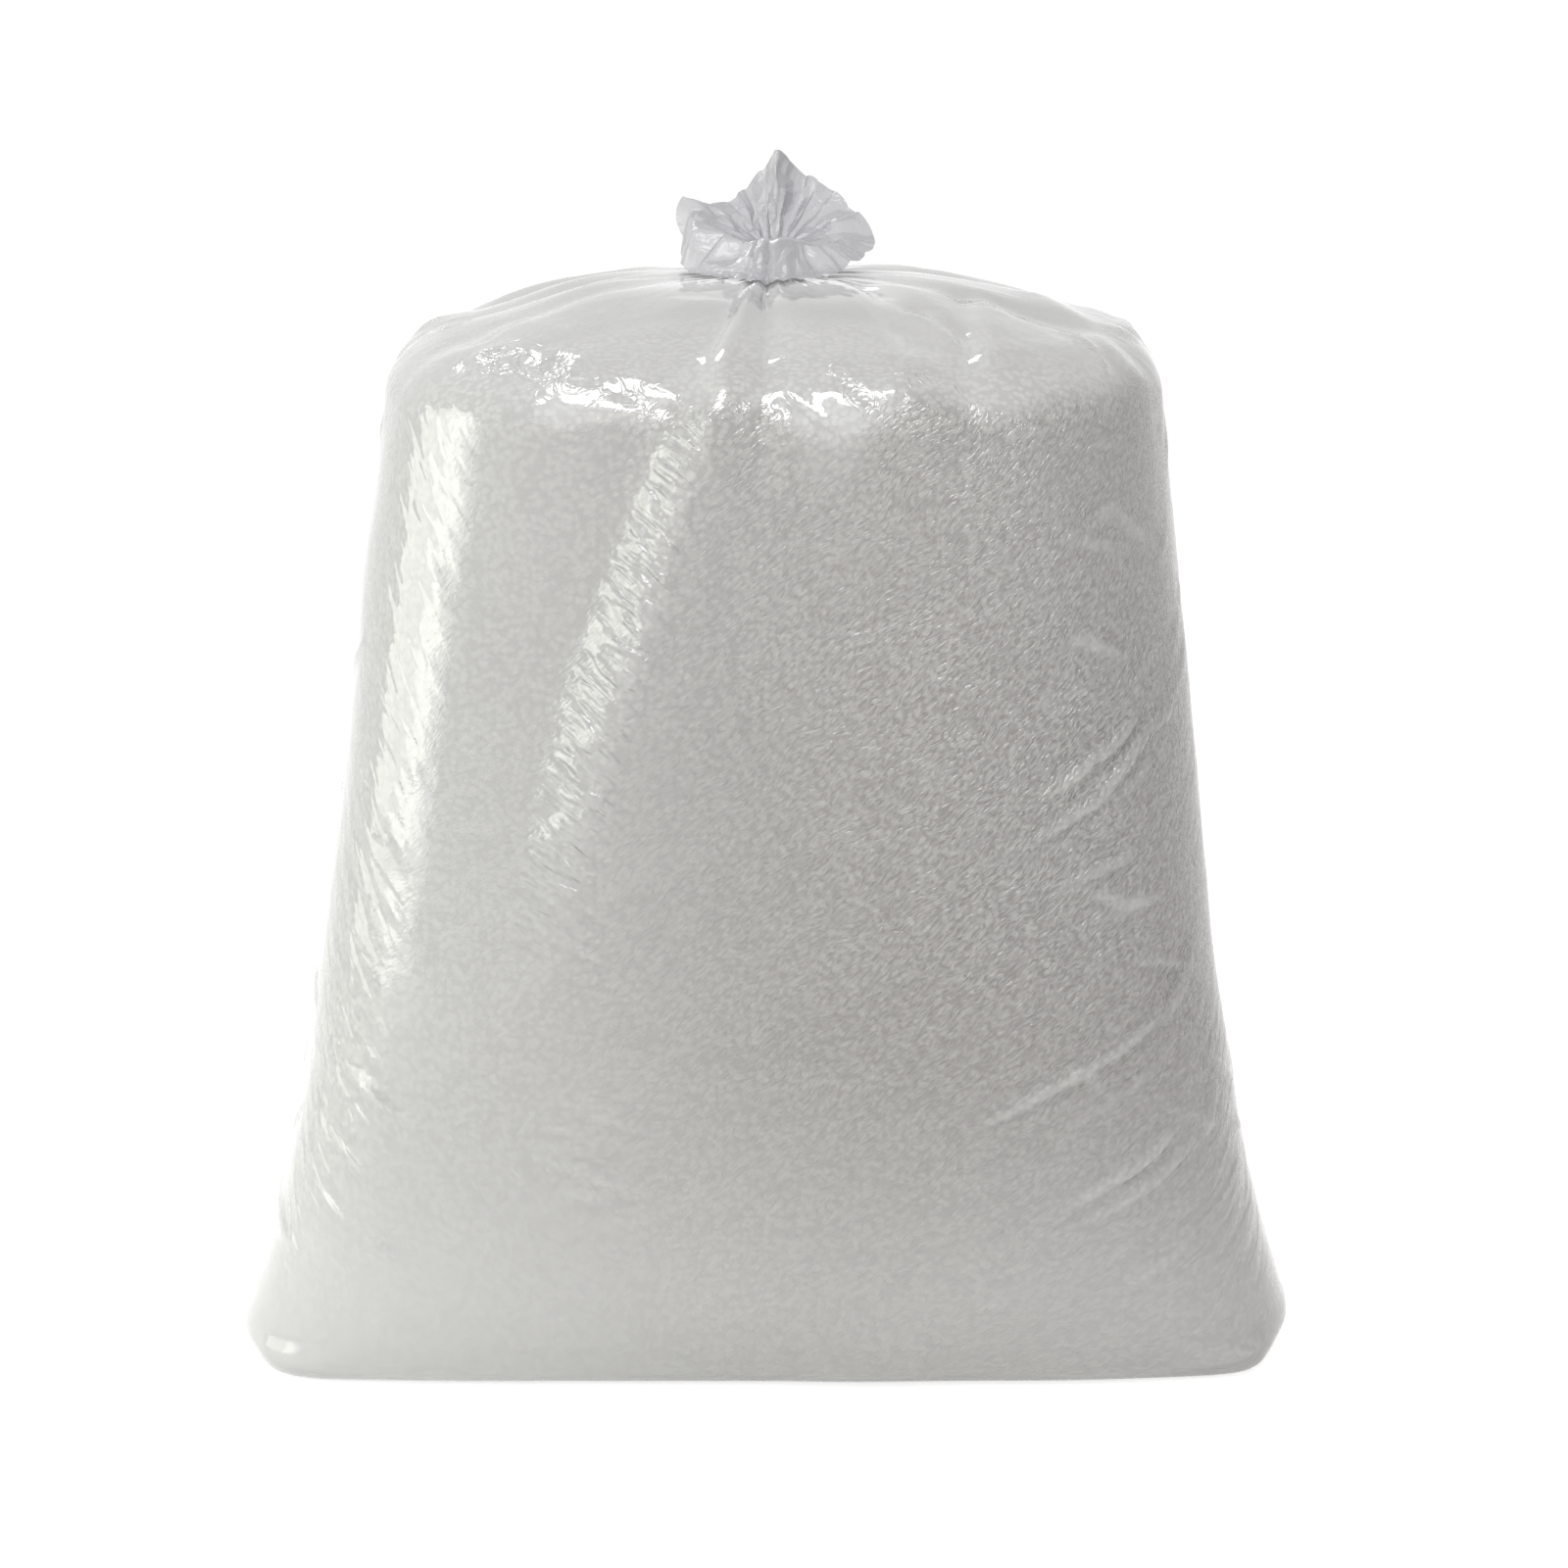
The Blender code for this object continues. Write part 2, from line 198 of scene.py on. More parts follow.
# Creases that run from the neck over the top: angle at the shoulder and at the neck, depth, half
# width at the shoulder, how far they run down the side, in degrees and metres, and how sharp.
topCreases = (
    (24, 28, 0.010, 0.024, 0.030, 2.0), (50, 51, 0.007, 0.020, 0.020, 1.6),
    (76, 74, 0.012, 0.024, 0.050, 1.6), (103, 102, 0.009, 0.020, 0.030, 2.0),
    (130, 127, 0.012, 0.022, 0.040, 1.6),
    (156, 154, 0.009, 0.022, 0.030, 2.0), (181, 180, 0.003, 0.014, 0.010, 2.0),
    (207, 206, 0.006, 0.024, 0.020, 2.0), (258, 248, 0.007, 0.010, 0.040, 1.2),
    (268, 264, 0.009, 0.009, 0.030, 1.2), (300, 330, 0.008, 0.016, 0.030, 1.8),
    (340, 346, 0.007, 0.022, 0.030, 2.0),
)

# Long folds in the slack film of the top, seen from above: two ends, half width and rise.
topFolds = (
    ((0.118, -0.035), (0.115, -0.185), 0.008, -0.0035),
    ((0.128, -0.035), (0.131, -0.170), 0.012, 0.0030),
    ((0.060, -0.036), (0.088, -0.086), 0.009, -0.0030),
    ((0.088, -0.086), (0.116, -0.130), 0.007, -0.0030),
    ((0.165, 0.005), (0.206, -0.100), 0.014, 0.0030),
    ((-0.175, -0.030), (-0.130, -0.130), 0.016, 0.0025),
    ((-0.100, -0.030), (-0.106, -0.130), 0.022, 0.0020),
    ((0.150, 0.120), (0.060, 0.060), 0.014, 0.0030),
    ((-0.150, 0.100), (-0.060, 0.070), 0.014, 0.0030),
)

# The proud fold down the front: height up the bag, place across, height of the fold, and half
# width towards the left and towards the right.
frontFold = (
    (0.215, -0.130, 0.0000, 0.024, 0.090), (0.290, -0.112, 0.0035, 0.024, 0.090),
    (0.340, -0.100, 0.0070, 0.025, 0.090), (0.400, -0.083, 0.0110, 0.027, 0.085),
    (0.450, -0.069, 0.0125, 0.026, 0.080), (0.520, -0.050, 0.0120, 0.022, 0.050),
    (0.570, -0.035, 0.0120, 0.017, 0.028), (0.600, -0.024, 0.0090, 0.013, 0.016),
    (0.680, -0.014, 0.0060, 0.011, 0.012), (0.800, -0.003, 0.0020, 0.008, 0.008),
    (0.850, 0.002, 0.0000, 0.006, 0.006),
)


def frontRelief(points, up):
    # the proud fold and the trough at its left, its left flank, and the clear pocket below the neck
    onFront = smooth((-points[:, :, 1] - 0.01) / 0.06)
    table = np.array(frontFold)
    crest, height, left, right = (np.interp(up, table[:, 0], table[:, k]) for k in (1, 2, 3, 4))
    gap = points[:, :, 0] - crest
    fold = np.where(gap < 0, np.exp(-np.abs(gap / left) ** 2.2), np.exp(-np.abs(gap / right) ** 1.5))
    trough = 0.22 * np.exp(-((gap + 2.4 * left) / (1.3 * left)) ** 2)
    flank = smooth((gap + 1.6 * left) / (0.6 * left)) * smooth((0.012 - gap) / 0.014)
    flank = flank * smooth((up - 0.255) / 0.08) * smooth((0.70 - up) / 0.05)
    pocket = np.exp(-((points[:, :, 0] - 0.040) / 0.026) ** 2 - ((up - 0.590) / 0.042) ** 2)
    return onFront * height * (fold - trough), onFront * flank, onFront * pocket


def creaseDepth(angle, stages, points, run):
    # how far the creases of the top sink the film, for each level and column
    sunk = np.zeros(points.shape[:2])
    shoulderLevel = max(i for i, (stage, _) in enumerate(stages) if stage == "side")
    radius = np.hypot(points[:, :, 0] - bagShape["lean"], points[:, :, 1])
    for atShoulder, atNeck, depth, halfWidth, reach, sharpness in topCreases:
        for level, (stage, share) in enumerate(stages):
            towards = 0.0
            if stage == "side":
                strength = 0.30 * math.exp(-((run[shoulderLevel] - run[level]) / reach) ** 1.3)
            elif stage == "turn":
                strength = 0.30 + 0.45 * share
            elif stage == "top":
                strength, towards = math.sin(math.pi * blend(0.27, 0.90, share)), share
            else:
                continue
            if strength < 0.01:
                continue
            middle = math.radians(blend(atShoulder, atNeck, smooth(np.array((towards - 0.2) / 0.8))))
            turned = (angle - middle + np.pi) % (2 * np.pi) - np.pi
            gap = np.abs(turned) * radius[level]
            width = halfWidth * blend(1.0, 0.16, towards)
            cut = 0.7 * np.exp(-(gap / width) ** sharpness) + 0.3 * np.exp(-(gap / (2.2 * width)) ** 2)
            sunk[level] += depth * strength * cut * blend(1, 0.30, towards ** 2)
    return sunk


def topFoldHeight(points, up):
    # how far the long folds lift or sink the film of the top
    height = np.zeros(points.shape[:2])
    for start, end, halfWidth, rise in topFolds:
        start, end = np.array(start), np.array(end)
        run = end - start
        share = np.clip(((points[:, :, :2] - start) @ run) / (run @ run), 0, 1)
        gap = np.linalg.norm(points[:, :, :2] - start - share[:, :, None] * run, axis=2)
        height += rise * np.exp(-(gap / halfWidth) ** 2)
    return height * smooth((up - 0.600) / 0.03)


gatherShape = {"pleats": ((31, 0.0006), (53, 0.0003)), "start": 0.50}


def gatherHeight(angle, stages):
    # small pleats that fan out from the neck and die away over the top
    height = np.zeros((len(stages), len(angle)))
    uneven = 0.12 * np.sin(5 * angle)
    for level, (stage, share) in enumerate(stages):
        if stage != "top":
            continue
        for count, rise in gatherShape["pleats"]:
            wander = 1.5 * roundNoise(angle, 0.05 * share, 0.05, 0.03, 40 + count)
            fade = smooth((share - gatherShape["start"] - uneven) / 0.35) * smooth((1.02 - share) / 0.10)
            height[level] += rise * fade * np.sin(count * angle + wander)
    return height


def neckCreases(angle):
    # 1 where a crease of the top runs into the neck, falling off over about a millimetre
    found = 0.0
    for _, atNeck, *_ in topCreases:
        gap = np.abs((angle - math.radians(atNeck) + np.pi) % (2 * np.pi) - np.pi) * bagShape["neckRadius"]
        found = found + np.exp(-(gap / 0.0011) ** 1.2)
    return found.clip(0, 1)


def wrinkleHeight(along, up, wrinkles):
    # the sum of many short ridges: middle (s, v), heading, half length, half width, height, bend
    height = np.zeros(along.shape)
    for s0, v0, heading, halfLength, halfWidth, rise, bend in wrinkles:
        near = np.maximum(np.abs(along - s0), np.abs(up - v0)) < halfLength + 4 * halfWidth
        if not near.any():
            continue
        ds, dv = along[near] - s0, up[near] - v0
        c, n = math.cos(heading), math.sin(heading)
        u = (ds * c + dv * n) / halfLength
        w = (-ds * n + dv * c) / halfWidth - bend * (u * u)
        section = np.exp(-np.abs(w) ** 1.6) - 0.30 * np.exp(-(w / 2.4) ** 2)  # it dips beside the ridge
        height[near] += rise * np.clip(1 - u * u, 0, 1) ** 1.2 * section
    return height


def randomCells(along, up, cellAlong, cellUp, seed, period):
    # the four corner values of the cell at each place, and how far along and up in it the place is
    count = max(2, round(period / cellAlong))
    grid = np.random.default_rng(seed).uniform(-1, 1, (count, 257))
    a, b = (along / period % 1.0) * count, (up / cellUp + 64) % 256
    i, j = np.floor(a).astype(int) % count, np.floor(b).astype(int)
    after = (i + 1) % count
    corners = grid[i, j], grid[after, j], grid[i, j + 1], grid[after, j + 1]
    return *corners, a - np.floor(a), b - j


def noiseField(along, up, cellAlong, cellUp, seed, period=bagShape["girth"]):
    # soft random field, about -1 to 1, that closes on itself after a period along
    near, beside, above, far, s, t = randomCells(along, up, cellAlong, cellUp, seed, period)
    return blend(blend(near, beside, smooth(s)), blend(above, far, smooth(s)), smooth(t))


def roundNoise(angle, up, cellAlong, cellUp, seed):
    # the same round the neck, by angle
    return noiseField(angle * 0.1, angle * 0 + up, cellAlong, cellUp, seed, 0.2 * np.pi)


def filmCoordinates(angle, stages):
    # each column's run along the film from the middle of the front, and each level's run up it
    dense, _, step = girthLine(90, 450, 7201)
    run = np.concatenate([[0], np.cumsum(step)])
    run *= bagShape["girth"] / run[-1]
    run -= np.interp(np.radians(270), dense, run)
    turned = np.where(angle < np.radians(90), angle + 2 * np.pi, angle)
    up = [blend(*bagShape["stageRun"][stage], share) for stage, share in stages]
    return np.interp(turned, dense, run), np.array(up)


def alongFor(across, height):
    # run along the film for a place on the front, given as metres to the right and metres up
    dense, x, step = girthLine(180, 360, 3601)
    run = np.concatenate([[0], np.cumsum(step)])
    run -= np.interp(np.radians(270), dense, run)
    fromMiddle = across - bagShape["lean"] * height / bagShape["shoulderHeight"]
    here = fromMiddle * sideSection(bagShape["girthHeight"])[0] / float(sideSection(height)[0])
    return float(np.interp(here, x, run))


# Where the film is crumpled as it turns over the shoulder: run along and up the film at the two
# ends, half width and strength.
crumplePaths = (
    (-0.225, 0.630, -0.146, 0.616, 0.0095, 1.2), (-0.146, 0.618, -0.082, 0.602, 0.0085, 1.0),
    (-0.082, 0.602, -0.040, 0.588, 0.0075, 1.0), (-0.018, 0.592, 0.002, 0.596, 0.0075, 0.7),
    (0.040, 0.620, 0.056, 0.603, 0.0060, 1.0), (0.056, 0.603, 0.072, 0.596, 0.0055, 0.9),
    (0.078, 0.604, 0.096, 0.620, 0.0060, 1.0), (0.096, 0.620, 0.126, 0.610, 0.0065, 1.0),
    (0.080, 0.606, 0.118, 0.586, 0.0050, 0.8), (-0.270, 0.650, -0.284, 0.680, 0.0090, 0.6),
    (0.297, 0.647, 0.247, 0.603, 0.0050, 0.6), (0.275, 0.700, 0.287, 0.698, 0.0060, 0.6),
    (0.360, 0.630, 0.520, 0.610, 0.0100, 0.8), (0.700, 0.620, 0.860, 0.600, 0.0110, 0.9),
    (-0.860, 0.630, -0.740, 0.605, 0.0100, 0.9), (-0.560, 0.615, -0.400, 0.630, 0.0100, 0.8),
)


def crumpleShare(along, up):
    # 1 on those paths and 0 away from them
    found = np.zeros(along.shape)
    for s0, v0, s1, v1, halfWidth, strength in crumplePaths:
        run = np.array([s1 - s0, v1 - v0])
        share = np.clip(((along - s0) * run[0] + (up - v0) * run[1]) / (run @ run), 0, 1)
        gap = np.hypot(along - s0 - share * run[0], up - v0 - share * run[1])
        found = np.maximum(found, strength * np.exp(-(gap / halfWidth) ** 2))
    return found


wrinklePlan = {
    "cornerBandRise": 0.0009, "ridgeRise": 0.0012, "strokeRise": 0.0026,
    "lowLeftRise": 0.0018, "lowMiddleRise": 0.0026, "tensionRise": 0.0048,
    "shoulderCount": 30, "sideCount": 240, "seed": 7,
    # where the film turns over: run along and up it at the two ends, half width, height and bend
    "turnFolds": (
        (0.006, 0.611, 0.046, 0.576, 0.0034, 0.0026, 0.2),
        (0.134, 0.592, 0.150, 0.581, 0.0032, 0.0018, 0.3),
        (0.148, 0.581, 0.190, 0.580, 0.0034, 0.0022, -0.6),
        (0.299, 0.649, 0.246, 0.602, 0.0046, 0.0030, 0.3),
        (-0.018, 0.586, -0.008, 0.612, 0.0050, 0.0030, 0.2),
        (0.001, 0.586, -0.008, 0.612, 0.0050, 0.0026, -0.2),
    ),
    # on the right, near the middle, below it and by the foot: place across and up, heading in
    # degrees, half length and how high of the tension rise
    "tensionFolds": (
        (0.190, 0.381, 30, 0.026, 1.0), (0.222, 0.386, 33, 0.028, 1.0), (0.214, 0.397, 31, 0.022, 0.8),
        (0.240, 0.402, 12, 0.018, 0.7), (0.201, 0.363, 27, 0.034, 0.7), (0.176, 0.350, 28, 0.030, 0.4),
        (0.226, 0.372, 30, 0.020, 0.5), (0.208, 0.203, 25, 0.070, 0.9), (0.258, 0.243, 44, 0.026, 0.8),
        (0.236, 0.190, 30, 0.045, 0.4), (0.230, 0.130, 33, 0.022, 0.8), (0.252, 0.146, 34, 0.026, 1.0),
        (0.262, 0.137, 32, 0.028, 0.9), (0.276, 0.160, 46, 0.020, 0.8), (0.246, 0.122, 30, 0.022, 0.6),
        (0.272, 0.078, 38, 0.026, 0.5),
    ),
}


def filmWrinkles():
    # every wrinkle as (s, v, heading, half length, half width, height, bend)
    plan = wrinklePlan
    rng = np.random.default_rng(plan["seed"])
    found = []

    def add(across, height, degrees, *size):
        found.append((alongFor(across, height), height, math.radians(degrees), *size))

    # across the rounded left corner of the front, all the way up
    for height in np.arange(0.075, 0.575, 0.0135):
        across = np.interp(height, [0.07, 0.22, 0.35, 0.47, 0.57], [-0.281, -0.254, -0.232, -0.212, -0.188])
        across += rng.uniform(-0.012, 0.016)
        add(across, height + rng.uniform(-0.004, 0.004), rng.uniform(-60, -34), rng.uniform(0.014, 0.030),
            rng.uniform(0.0030, 0.0046), plan["cornerBandRise"] * rng.uniform(0.5, 1.3), rng.uniform(-1, 1))
    # across the left flank of the proud fold
    for height in np.arange(0.285, 0.575, 0.0125):
        across = np.interp(height, [0.29, 0.38, 0.458, 0.548, 0.60], [-0.118, -0.098, -0.080, -0.056, -0.04])
        add(across + rng.uniform(-0.004, 0.006), height, rng.uniform(-42, -14), rng.uniform(0.012, 0.022),
            rng.uniform(0.0026, 0.0036), plan["ridgeRise"] * rng.uniform(0.6, 1.4), rng.uniform(-1, 1))
    # separate strokes below it, and two braided strands above
    for height in np.arange(0.268, 0.372, 0.0125):
        across = np.interp(height, [0.268, 0.372], [-0.112, -0.092])
        add(across + rng.uniform(-0.004, 0.004), height, rng.uniform(-38, -26), rng.uniform(0.014, 0.020),
            0.0030, plan["strokeRise"] * rng.uniform(0.8, 1.1), rng.uniform(0.4, 1.2))
    for k, height in enumerate(np.arange(0.485, 0.590, 0.0100)):
        crest = np.interp(height, [0.450, 0.520, 0.590], [-0.069, -0.051, -0.030])
        add(crest + 0.002, height, 62 + 46 * (k % 2), 0.011, 0.0032, 0.0014, 0.0)
        add(crest - 0.020, height, 108 - 46 * (k % 2), 0.012, 0.0032, 0.0016, 0.0)
    for s0, v0, s1, v1, *size in plan["turnFolds"]:
        heading, length = math.atan2(v1 - v0, s1 - s0), math.hypot(s1 - s0, v1 - v0)
        found.append(((s0 + s1) / 2, (v0 + v1) / 2, heading, length / 2, *size))
    for across, height, degrees, halfLength, size in plan["tensionFolds"]:
        add(across, height, degrees, 1.2 * halfLength, rng.uniform(0.0032, 0.0040),
            plan["tensionRise"] * size, rng.uniform(-0.3, 1.2))
    # fine folds at the lower left
    for k, height in enumerate(np.arange(0.075, 0.200, 0.0125)):
        add(rng.uniform(-0.285, -0.250), height, rng.uniform(-52, -32), rng.uniform(0.020, 0.036),
            rng.uniform(0.0034, 0.0046), plan["lowLeftRise"] * rng.uniform(0.6, 1.2), rng.uniform(-0.5, 0.5))
        add(rng.uniform(-0.148, -0.104), 0.128 + 0.0075 * k, rng.uniform(-20, -10), rng.uniform(0.018, 0.034),
            rng.uniform(0.0032, 0.0040), plan["lowMiddleRise"] * rng.uniform(0.6, 1.2), 0.0)
    # crumpled film along the shoulder
    for _ in range(plan["shoulderCount"]):
        found.append((rng.uniform(-0.87, 0.87), rng.uniform(0.585, 0.640), rng.uniform(-1.2, 1.2),
                      rng.uniform(0.010, 0.026), rng.uniform(0.0034, 0.0050), rng.uniform(0.0004, 0.0011),
                      rng.uniform(-1.5, 1.5)))
    # the sides and the back, which have the same kinds of folds
    for _ in range(plan["sideCount"]):
        along, up = rng.uniform(0.20, 1.54), rng.uniform(0.04, 0.57)
        along = along if along < bagShape["girth"] / 2 else along - bagShape["girth"]
        nearCorner = min(abs(abs(along) - corner) for corner in (0.26, 0.60))
        if nearCorner > 0.09 and rng.uniform() < 0.55:
            continue
        heading = rng.choice([-1, 1]) * rng.uniform(0.15, 0.75)
        fold = (along, up, heading, rng.uniform(0.018, 0.050), rng.uniform(0.0036, 0.0056),
                rng.uniform(0.0008, 0.0026), rng.uniform(-1, 1))
        if not -0.34 < along < 0:  # the left front corner has folds of its own
            found.append(fold)
    return found


def meshFromRings(name, points, centre=None):
    # four-sided faces from rings of points, with a fan over the first ring, and over the last to a centre
    rings, columns = points.shape[:2]
    index = np.arange(rings * columns).reshape(rings, columns)
    after = np.roll(index, -1, axis=1)
    faces = np.stack([index[:-1], after[:-1], after[1:], index[1:]], axis=-1).reshape(-1, 4).tolist()
    vertices = points.reshape(-1, 3)
    vertices = np.vstack([vertices, points[0].mean(axis=0)])
    faces += [[int(after[0, c]), int(index[0, c]), len(vertices) - 1] for c in range(columns)]
    if centre is not None:
        vertices = np.vstack([vertices, centre])
        faces += [[int(index[-1, c]), int(after[-1, c]), len(vertices) - 1] for c in range(columns)]
    mesh = bpy.data.meshes.new(name)
    mesh.from_pydata(vertices.tolist(), [], faces)
    mesh.polygons.foreach_set("use_smooth", [True] * len(mesh.polygons))
    mesh.update()
    piece = bpy.data.objects.new(name, mesh)
    bpy.context.scene.collection.objects.link(piece)
    return piece


def setAttribute(piece, name, values):
    # a value for each point of the rings, and 0 at the middle of the foot
    attribute = piece.data.attributes.new(name, "FLOAT", "POINT")
    rest = np.zeros(len(piece.data.vertices) - np.size(values))
    attribute.data.foreach_set("value", np.concatenate([np.ravel(values), rest]).astype(np.float32))


filmSize = {
    "counts": (3, 8, 180, 20, 26, 5), "columns": 380, "meanRadius": 0.277,
    "crinkle": 0.00016, "crumple": 0.0034, "slack": 0.0016, "pocketRise": 0.0020,
    "pressedTo": 0.606, "clearEdge": 0.020,  # the beads press on it up to here, and this is how it ends
    "lowestShare": 0.15, "toneRise": (0.02, 0.24), "printRise": (0.05, 0.30),  # how both grow from the foot
    "looseFrom": -0.24, "looseShare": 0.93, "toneWidth": 0.36, "printWidth": 0.48,  # it is looser at the left
    "backCorner": 0.60,  # along the film, at both sides
}


def facets(along, up, cell, seed, period=bagShape["girth"]):
    # random field of flat faces that meet in straight creases, as in crumpled film
    a = along + 0.45 * cell * noiseField(along, up, 1.6 * cell, 1.6 * cell, seed + 100, period)
    b = up + 0.45 * cell * noiseField(along, up, 1.6 * cell, 1.6 * cell, seed + 200, period)
    near, beside, above, far, s, t = randomCells(a, b, cell, cell, seed, period)
    first = near + s * (beside - near) + t * (above - near)
    second = far + (1 - s) * (above - far) + (1 - t) * (beside - far)
    return np.where(s + t < 1, first, second)


def slackHeight(alongGrid, upGrid):
    return noiseField(alongGrid, upGrid, 0.085, 0.060, 5) * filmSize["slack"]


def buildFilm():
    angle, points, stages, run = makeSmoothBag(filmSize["counts"], filmSize["columns"])
    normal = surfaceNormals(points)
    along, up = filmCoordinates(angle, stages)
    alongGrid, upGrid = np.meshgrid(along, up)
    sunk = creaseDepth(angle, stages, points, run)
    relief, flank, pocket = frontRelief(points, upGrid)
    onFront = smooth((-points[:, :, 1] - 0.02) / 0.08)
    fade = smooth(upGrid / 0.02) * smooth((0.80 - upGrid) / 0.08)
    wrinkles = wrinkleHeight(alongGrid, upGrid, filmWrinkles())
    crinkle = noiseField(alongGrid, upGrid, 0.013, 0.010, 3)
    crinkle = crinkle + 0.6 * noiseField(alongGrid, upGrid, 0.0075, 0.006, 4)
    # crumpled where the film turns over the shoulder
    crumpled = crumpleShare(alongGrid, upGrid)
    crumple = facets(alongGrid + 0.5 * upGrid, upGrid, 0.021, 14)
    crumple = crumple + 0.18 * facets(alongGrid - 0.6 * upGrid, upGrid, 0.012, 15)
    moved = relief + filmSize["pocketRise"] * pocket + wrinkles + filmSize["crinkle"] * crinkle
    moved = moved + slackHeight(alongGrid, upGrid) + filmSize["crumple"] * crumple * crumpled
    moved = fade * moved - sunk + gatherHeight(angle, stages) + topFoldHeight(points, upGrid)
    points = points + normal * moved[:, :, None]
    # pleated towards the neck, and level at the tie
    level = np.array([share if stage == "top" else float(stage == "neck") for stage, share in stages])
    inward = bagShape["neckPleat"] * level[:, None] ** 5 * neckCreases(angle)
    flat = points[:, :, :2] - np.array([bagShape["lean"], 0.0])
    far = np.linalg.norm(flat, axis=2, keepdims=True)
    points[:, :, :2] -= flat / np.maximum(far, 1e-6) * inward[:, :, None]
    for i in np.flatnonzero([stage == "neck" for stage, _ in stages]):
        points[i, :, 2] = levelRing(*stages[i], angle)[1]
    points[:, :, 2] = np.maximum(points[:, :, 2], 0.0)
    film = meshFromRings("filmBag", points)
    addFilmMap(film, along, up)
    setAttribute(film, "crumpled", np.clip(crumpled, 0, 1))
    markFilm(film, alongGrid, upGrid, onFront, flank, pocket, wrinkles)
    return film


def markFilm(film, alongGrid, upGrid, onFront, flank, pocket, wrinkles):
    # how the film lies at each point, for its material
    s = filmSize
    # bands drawn into short slanting folds, down to the right and down to the left
    corner = np.exp(-((alongGrid - np.interp(upGrid, [0.05, 0.58], [-0.308, -0.252])) / 0.038) ** 2)
    corner *= smooth((upGrid - 0.03) / 0.06) * smooth((0.615 - upGrid) / 0.03)
    lowLeft = 0.6 * np.exp(-((alongGrid + 0.16) / 0.09) ** 2 - ((upGrid - 0.150) / 0.050) ** 2) * onFront
    rightSide = np.exp(-((alongGrid - 0.31) / 0.11) ** 2)
    rightSide *= sum(np.exp(-((upGrid - place) / spread) ** 2)
                     for place, spread in ((0.36, 0.045), (0.20, 0.035), (0.105, 0.040)))
    backCorners = 0.8 * np.exp(-((np.abs(alongGrid) - s["backCorner"]) / 0.045) ** 2)
    backCorners = backCorners * smooth((upGrid - 0.04) / 0.06) * smooth((0.60 - upGrid) / 0.05)
    setAttribute(film, "drawnRight", np.clip(corner + lowLeft + backCorners * (alongGrid > 0), 0, 1))
    setAttribute(film, "drawnLeft", np.clip(rightSide + backCorners * (alongGrid < 0), 0, 1))
    setAttribute(film, "flankFolds", np.clip(flank, 0, 1) * smooth((0.605 - upGrid) / 0.03))
    # where the beads press on the film, which sets how much of them shows, the painted shade between
    # them and how deep they print through it: less towards the foot and the left, where it hangs looser, and
    # on what is drawn or wrinkled
    topEdge = s["pressedTo"] + 0.010 * noiseField(alongGrid, upGrid * 0, 0.05, 1.0, 9) - 0.020 * pocket
    pressed = smooth((topEdge - upGrid) / s["clearEdge"]) * (1 - 0.45 * smooth(pocket * 2 - 0.4))
    pressed *= 1 - 0.20 * smooth((upGrid - 0.42) / 0.12)
    pressed *= (1 - 0.8 * corner) * (1 - 0.4 * flank) * (1 - 0.6 * smooth(wrinkles / 0.002))
    marks = {}
    for name, (start, width), looseWidth in (("contactAndShade", s["toneRise"], s["toneWidth"]),
                                             ("printed", s["printRise"], s["printWidth"])):
        loose = s["looseShare"] * onFront * (1 - smooth((alongGrid - s["looseFrom"]) / looseWidth))
        marks[name] = pressed * blend(s["lowestShare"], 1, smooth((upGrid - start) / width)) * (1 - loose)
        setAttribute(film, name, marks[name])
    # pressed on the beads, bunched on the flank and low at the left it is less of a mirror
    lower = (1 - smooth((upGrid - 0.10) / 0.34)) * smooth(-alongGrid / 0.20)
    shine = (1 - 0.45 * marks["contactAndShade"]) * (1 - 0.35 * flank) * (1 - 0.2 * lower)
    setAttribute(film, "shine", shine * (0.5 + 0.5 * smooth((upGrid - 0.02) / 0.06)))
    # the film is hazier where several layers lie together by the neck, which also lifts the shade there, and
    # at the left of the foot, where it is painted light that lightens the lower left
    foot = onFront * (1 - smooth((upGrid - 0.04) / 0.14)) * (1 - smooth((alongGrid + 0.32) / 0.34))
    setAttribute(film, "gathered", smooth((upGrid - 0.715) / 0.10) + 0.35 * foot)


def addFilmMap(film, along, up):
    # UV map in metres: run along the film from the middle of the front, and run up it
    around = np.roll(along, -1) - along
    around[around < -0.5] += 2 * np.pi * filmSize["meanRadius"]  # the column that closes it at the back
    right = along + around
    loops = [np.array([[along, along * 0 + low], [right, along * 0 + low], [right, along * 0 + high],
                       [along, along * 0 + high]]).transpose(2, 0, 1) for low, high in zip(up, up[1:])]
    loops = np.concatenate(loops).ravel()
    rest = np.zeros(2 * len(film.data.loops) - len(loops))
    film.data.uv_layers.new(name="filmRun").data.foreach_set("uv", np.concatenate([loops, rest]))


beadSize = {
    "counts": (3, 5, 120, 10, 0, 0), "columns": 300, "turnKept": 0.7, "clearance": 0.0016, "lumps": 0.0007,
    "foldShare": 0.55, "pocketDepth": 0.004, "topClearance": 0.006, "crown": 0.022, "crownLumps": 0.0016,
}


